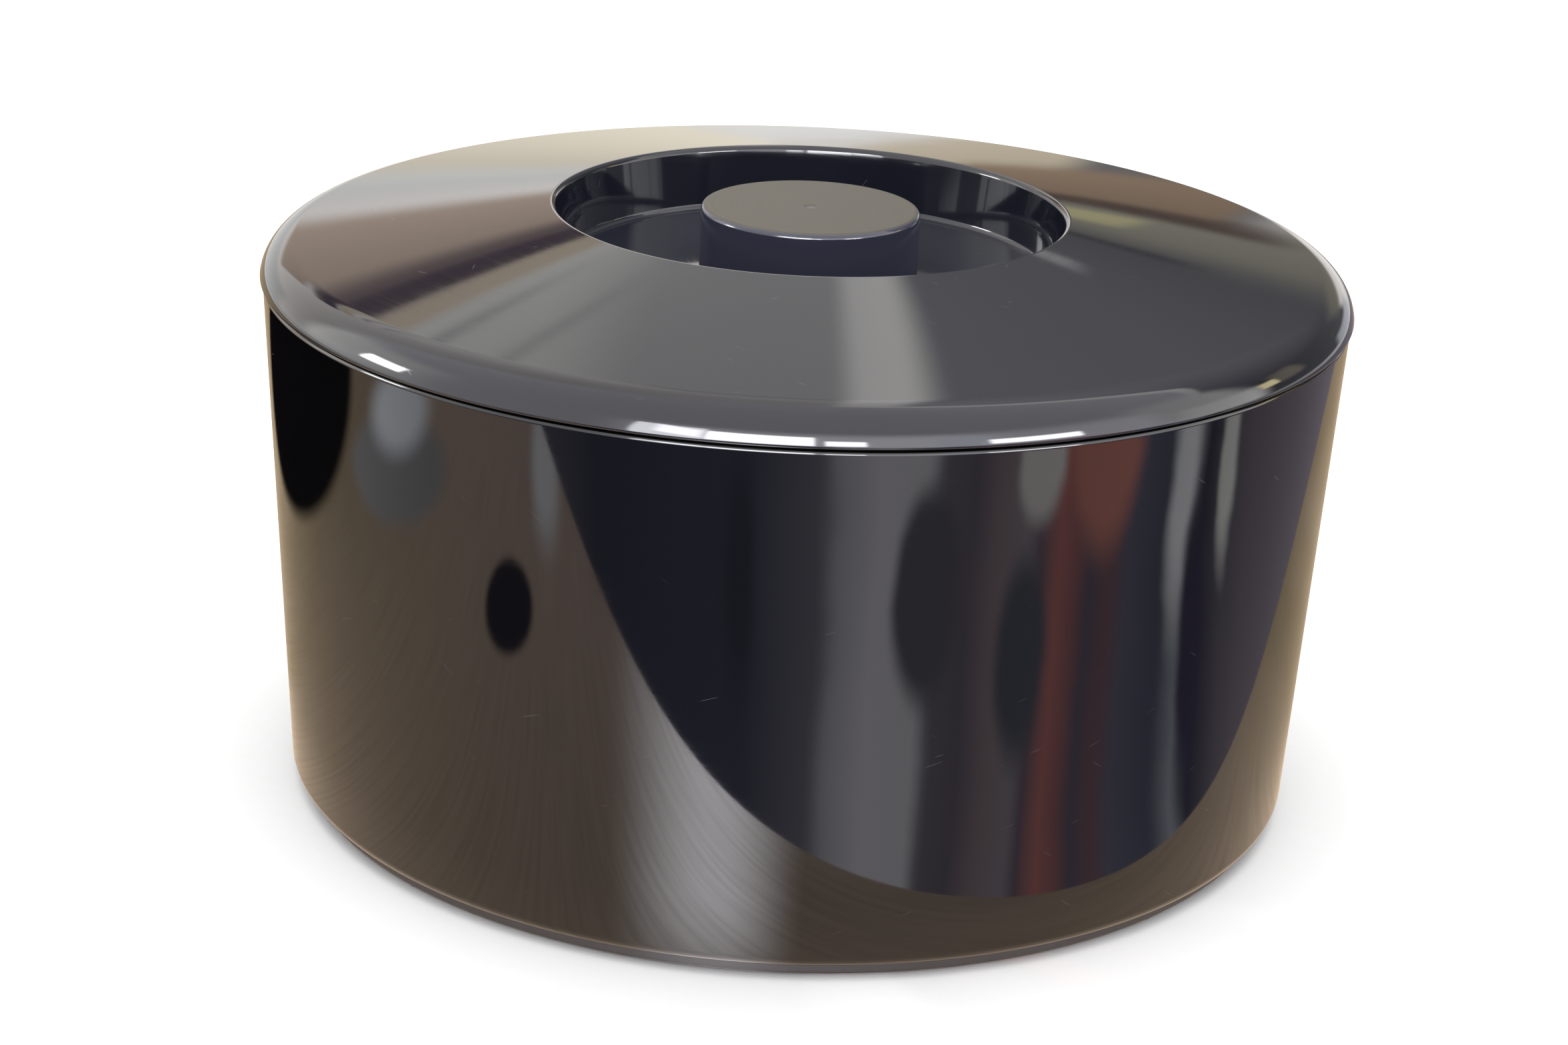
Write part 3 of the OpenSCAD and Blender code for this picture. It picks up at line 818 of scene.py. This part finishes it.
def dome_material():
    """The room above the table, by direction: azimuth 0 is behind and 90 is right, in degrees."""
    g = Graph("card_dome")
    x, y, z, coords = g.place()
    sway = g.math("MULTIPLY", g.math("SUBTRACT", g.noise(coords, 9.0, 3.0), 0.5), 0.8)
    azimuth = g.math("MULTIPLY", g.math("ARCTAN2", x, y), DEGREES_PER_RADIAN)
    elevation = g.math("ADD", g.math("MULTIPLY", g.math("ARCSINE", z), DEGREES_PER_RADIAN), sway)
    place = (azimuth, elevation)
    level = g.vector(g.math("MULTIPLY", azimuth, 0.05), g.math("MULTIPLY", elevation, 0.6), 0.0)
    streaks = g.noise(level, 1.0, 3.0)
    tint = g.mixed(streaks, rgb(1.90, 1.88, 1.97), rgb(2.26, 2.24, 2.31))
    behind = [
        (-26, 32, 66, 80, 16, 24, 0, (1.70, 1.61, 1.54)),
        (-6, 33, 30, 15, 8, 5, 0, (1.46, 1.46, 1.37)),
        (-3, 37, 13, 20, 5, 10, 0, (1.04, 1.03, 1.01)),
        (-24, 1, 46, 16, 6, 5, 0, (1.25, 1.26, 1.22)),
        (-4, -2, 20, 13, 5, 4, 0, (1.20, 1.10, 0.90)),
        (-19, 17, 24, 11, 2, 3, 0, (0.99, 0.78, 0.62)),
        (-21.5, 24.6, 27, 4.4, 2, 2.6, -0.26, (0.34, 0.25, 0.23)),
        (-21.5, 25.5, 27, 2.4, 2, 0.8, -0.26, (0.15, 0.10, 0.11)),
        (-21.5, 28.0, 26, 2.0, 2, 1.0, -0.30, (1.28, 1.08, 0.82)),
        (-22, 31.0, 20, 0.8, 6, 0.8, -0.30, (0.90, 0.86, 0.84)),
        (-20, 33.5, 24, 0.7, 6, 0.7, -0.25, (1.05, 1.02, 0.98)),
    ]
    right = [
        (3.2, -2.4, 8, 4.6, 1.5, 1.2, 0.3, (0.76, 0.66, 0.50)),
        (20, 11, 26, 8, 8, 5, 0, (0.44, 0.42, 0.33)),
        (11, 22.6, 1.8, 1.5, 1, 0.8, 0, (0.85, 0.84, 0.83)),
        (11.5, 16.5, 5, 1.0, 2, 1, 0, (0.12, 0.12, 0.12)),
        (10.2, 10.8, 2.4, 2.8, 0.8, 1.2, 0, (0.82, 0.76, 0.42)),
        (10, 6.9, 9, 2.6, 2, 1.2, 0.3, (0.15, 0.10, 0.07)),
        (8.5, 3.0, 8, 5.5, 1, 1.5, 0.3, (0.42, 0.30, 0.20)),
        (22, 0, 16, 14, 4, 4, 0, (1.60, 1.52, 1.42)),
        (35, -2.5, 16, 10, 4, 4, 0, (1.04, 1.08, 1.14)),
        (66, 12, 10, 14, 4, 6, 0, (0.85, 0.75, 0.56)),
        (93, 18, 26, 36, 10, 16, 0, (2.8, 2.75, 2.7)),
        (89, 5, 24, 20, 8, 8, 0, (3.6, 3.55, 3.45)),
        (74, 10, 6, 8, 2, 3, 0, (5.6, 4.9, 2.8)),
    ]
    front = [
        (149, 8, 128, 38, 24, 18, 0, (3.6, 3.55, 3.8)),
        (176, 8, 66, 34, 20, 16, 0, (5.0, 4.95, 5.3)),
        (148, 10, 12, 22, 6, 8, 0, (4.6, 4.7, 5.2)),
        (-154.4, 13, 14.4, 25, 1.5, 3, 0, (15, 15, 16)),
        (-156.5, 15, 9, 16, 3, 3, 0.5, (25, 25, 26)),
        (-172.3, 12, 20.8, 20, 0.8, 2.5, 0, (26, 26, 27)),
        (171.4, 8.5, 7.8, 11, 0.8, 2.5, 0, (26, 26, 27)),
        (134, 8, 19, 9.5, 1.5, 3, 0, (26, 26, 27)),
    ]
    left = [
        (-76, 16, 42, 34, 22, 14, 0, (3.2, 3.15, 3.05)),
        (-88, 13.5, 12, 10.5, 1.5, 3, 0, (26, 26, 27)),
        (-52, 13, 20, 34, 8, 14, 0, (1.55, 1.48, 1.36)),
    ]
    for spec in left + front + behind:
        tint = patch(g, place, tint, spec)
    tint = dim_corner(g, x, y, z, elevation, tint)
    for spec in right:
        tint = patch(g, place, tint, spec)
    return g.glow(tint)


def build_dome():
    """A dome of radius 1 in its own coordinates, scaled to the room's size."""
    rings, sectors, lowest = 48, 96, degrees(-12)
    verts, faces = [], []
    for i in range(rings):
        up = lowest + (QUARTER_TURN - lowest) * i / rings
        for k in range(sectors):
            turn = FULL_TURN * k / sectors
            verts.append((math.cos(up) * math.sin(turn), math.cos(up) * math.cos(turn), math.sin(up)))
    top = len(verts)
    verts.append((0, 0, 1))
    for i in range(rings):
        low, high = i * sectors, (i + 1) * sectors
        for k in range(sectors):
            after = (k + 1) % sectors
            if i + 1 < rings:
                faces.append([low + k, low + after, high + after, high + k])
            else:
                faces.append([low + k, low + after, top])
    dome = new_object("card_dome", verts, faces)
    dome.location = DOME_CENTRE
    dome.scale = (DOME_R, DOME_R, DOME_R)
    paint(dome, dome_material())
    seen_in_gloss_only(dome)


def build_floor():
    """The pale floor that the bucket stands on."""
    far = FLOOR_REACH
    floor = flat_mesh("floor", [(-far, -far, 0), (far, -far, 0), (far, far, 0), (-far, far, 0)])
    paint(floor, floor_material())


def build_reflections():
    """The three things that only the gloss sees."""
    room = flat_mesh("card_room", circle_points(Vector((0, 0, 0)), ROOM_R, ROOM_LIFT, 180))
    paint(room, room_material())
    seen_in_gloss_only(room)
    table = flat_mesh("card_table", circle_points(TABLE_CENTRE, TABLE_R, TABLE_LIFT, 360))
    paint(table, table_material())
    seen_in_gloss_only(table)
    build_dome()


def build_lights():
    """The world and the softbox, which light the scene but don't show in the gloss."""
    world = bpy.data.worlds.new("studio_world")
    bpy.context.scene.world = world
    world.use_nodes = True
    world.cycles_visibility.glossy = False
    nodes, links = world.node_tree.nodes, world.node_tree.links
    nodes.clear()
    coords = nodes.new("ShaderNodeTexCoord")
    parts = nodes.new("ShaderNodeSeparateXYZ")
    band = nodes.new("ShaderNodeValToRGB")
    sky = nodes.new("ShaderNodeBackground")
    out = nodes.new("ShaderNodeOutputWorld")
    links.new(coords.outputs["Generated"], parts.inputs[0])
    links.new(parts.outputs[2], band.inputs[0])
    links.new(band.outputs[0], sky.inputs["Color"])
    links.new(sky.outputs[0], out.inputs["Surface"])
    band.color_ramp.elements[0].position = 0.0
    band.color_ramp.elements[0].color = rgb(1.04, 1.03, 1.00)
    band.color_ramp.elements[1].position = 0.35
    band.color_ramp.elements[1].color = rgb(0.94, 0.94, 0.95)
    lamp = bpy.data.lights.new("ceiling_softbox", "AREA")
    lamp.shape = "SQUARE"
    lamp.size = SOFTBOX_SIDE
    lamp.energy = SOFTBOX_WATTS
    lamp_obj = bpy.data.objects.new("ceiling_softbox", lamp)
    bpy.context.collection.objects.link(lamp_obj)
    lamp_obj.location = (0, 0, SOFTBOX_HEIGHT)
    lamp_obj.visible_camera = False
    lamp_obj.visible_glossy = False


# Camera ---------------------------------------------------------------------------------------

CAMERA_AWAY = 1.0205             # camera's distance from the bucket's axis, along -Y
CAMERA_HEIGHT = 0.4485
CAMERA_PAN = -0.004              # radians to the right
CAMERA_TILT = 0.3455             # radians below level
CAMERA_ROLL = 0.0432             # radians anticlockwise, seen from behind it
CAMERA_LENS = 77.29              # millimetres, on a sensor of this width
SENSOR_WIDTH = 36.0


def build_camera():
    data = bpy.data.cameras.new("camera")
    data.lens = CAMERA_LENS
    data.sensor_width = SENSOR_WIDTH
    data.clip_start = 0.01
    data.clip_end = 50
    cam = bpy.data.objects.new("camera", data)
    bpy.context.collection.objects.link(cam)
    level = Matrix.Rotation(QUARTER_TURN - CAMERA_TILT, 4, "X")
    pan = Matrix.Rotation(-CAMERA_PAN, 4, "Z")
    roll = Matrix.Rotation(CAMERA_ROLL, 4, "Z")
    place = Matrix.Translation((0, -CAMERA_AWAY, CAMERA_HEIGHT))
    cam.matrix_world = place @ pan @ level @ roll
    bpy.context.scene.camera = cam


bpy.context.scene.view_settings.view_transform = "Standard"
build_camera()
build_pieces()
build_floor()
build_reflections()
build_lights()
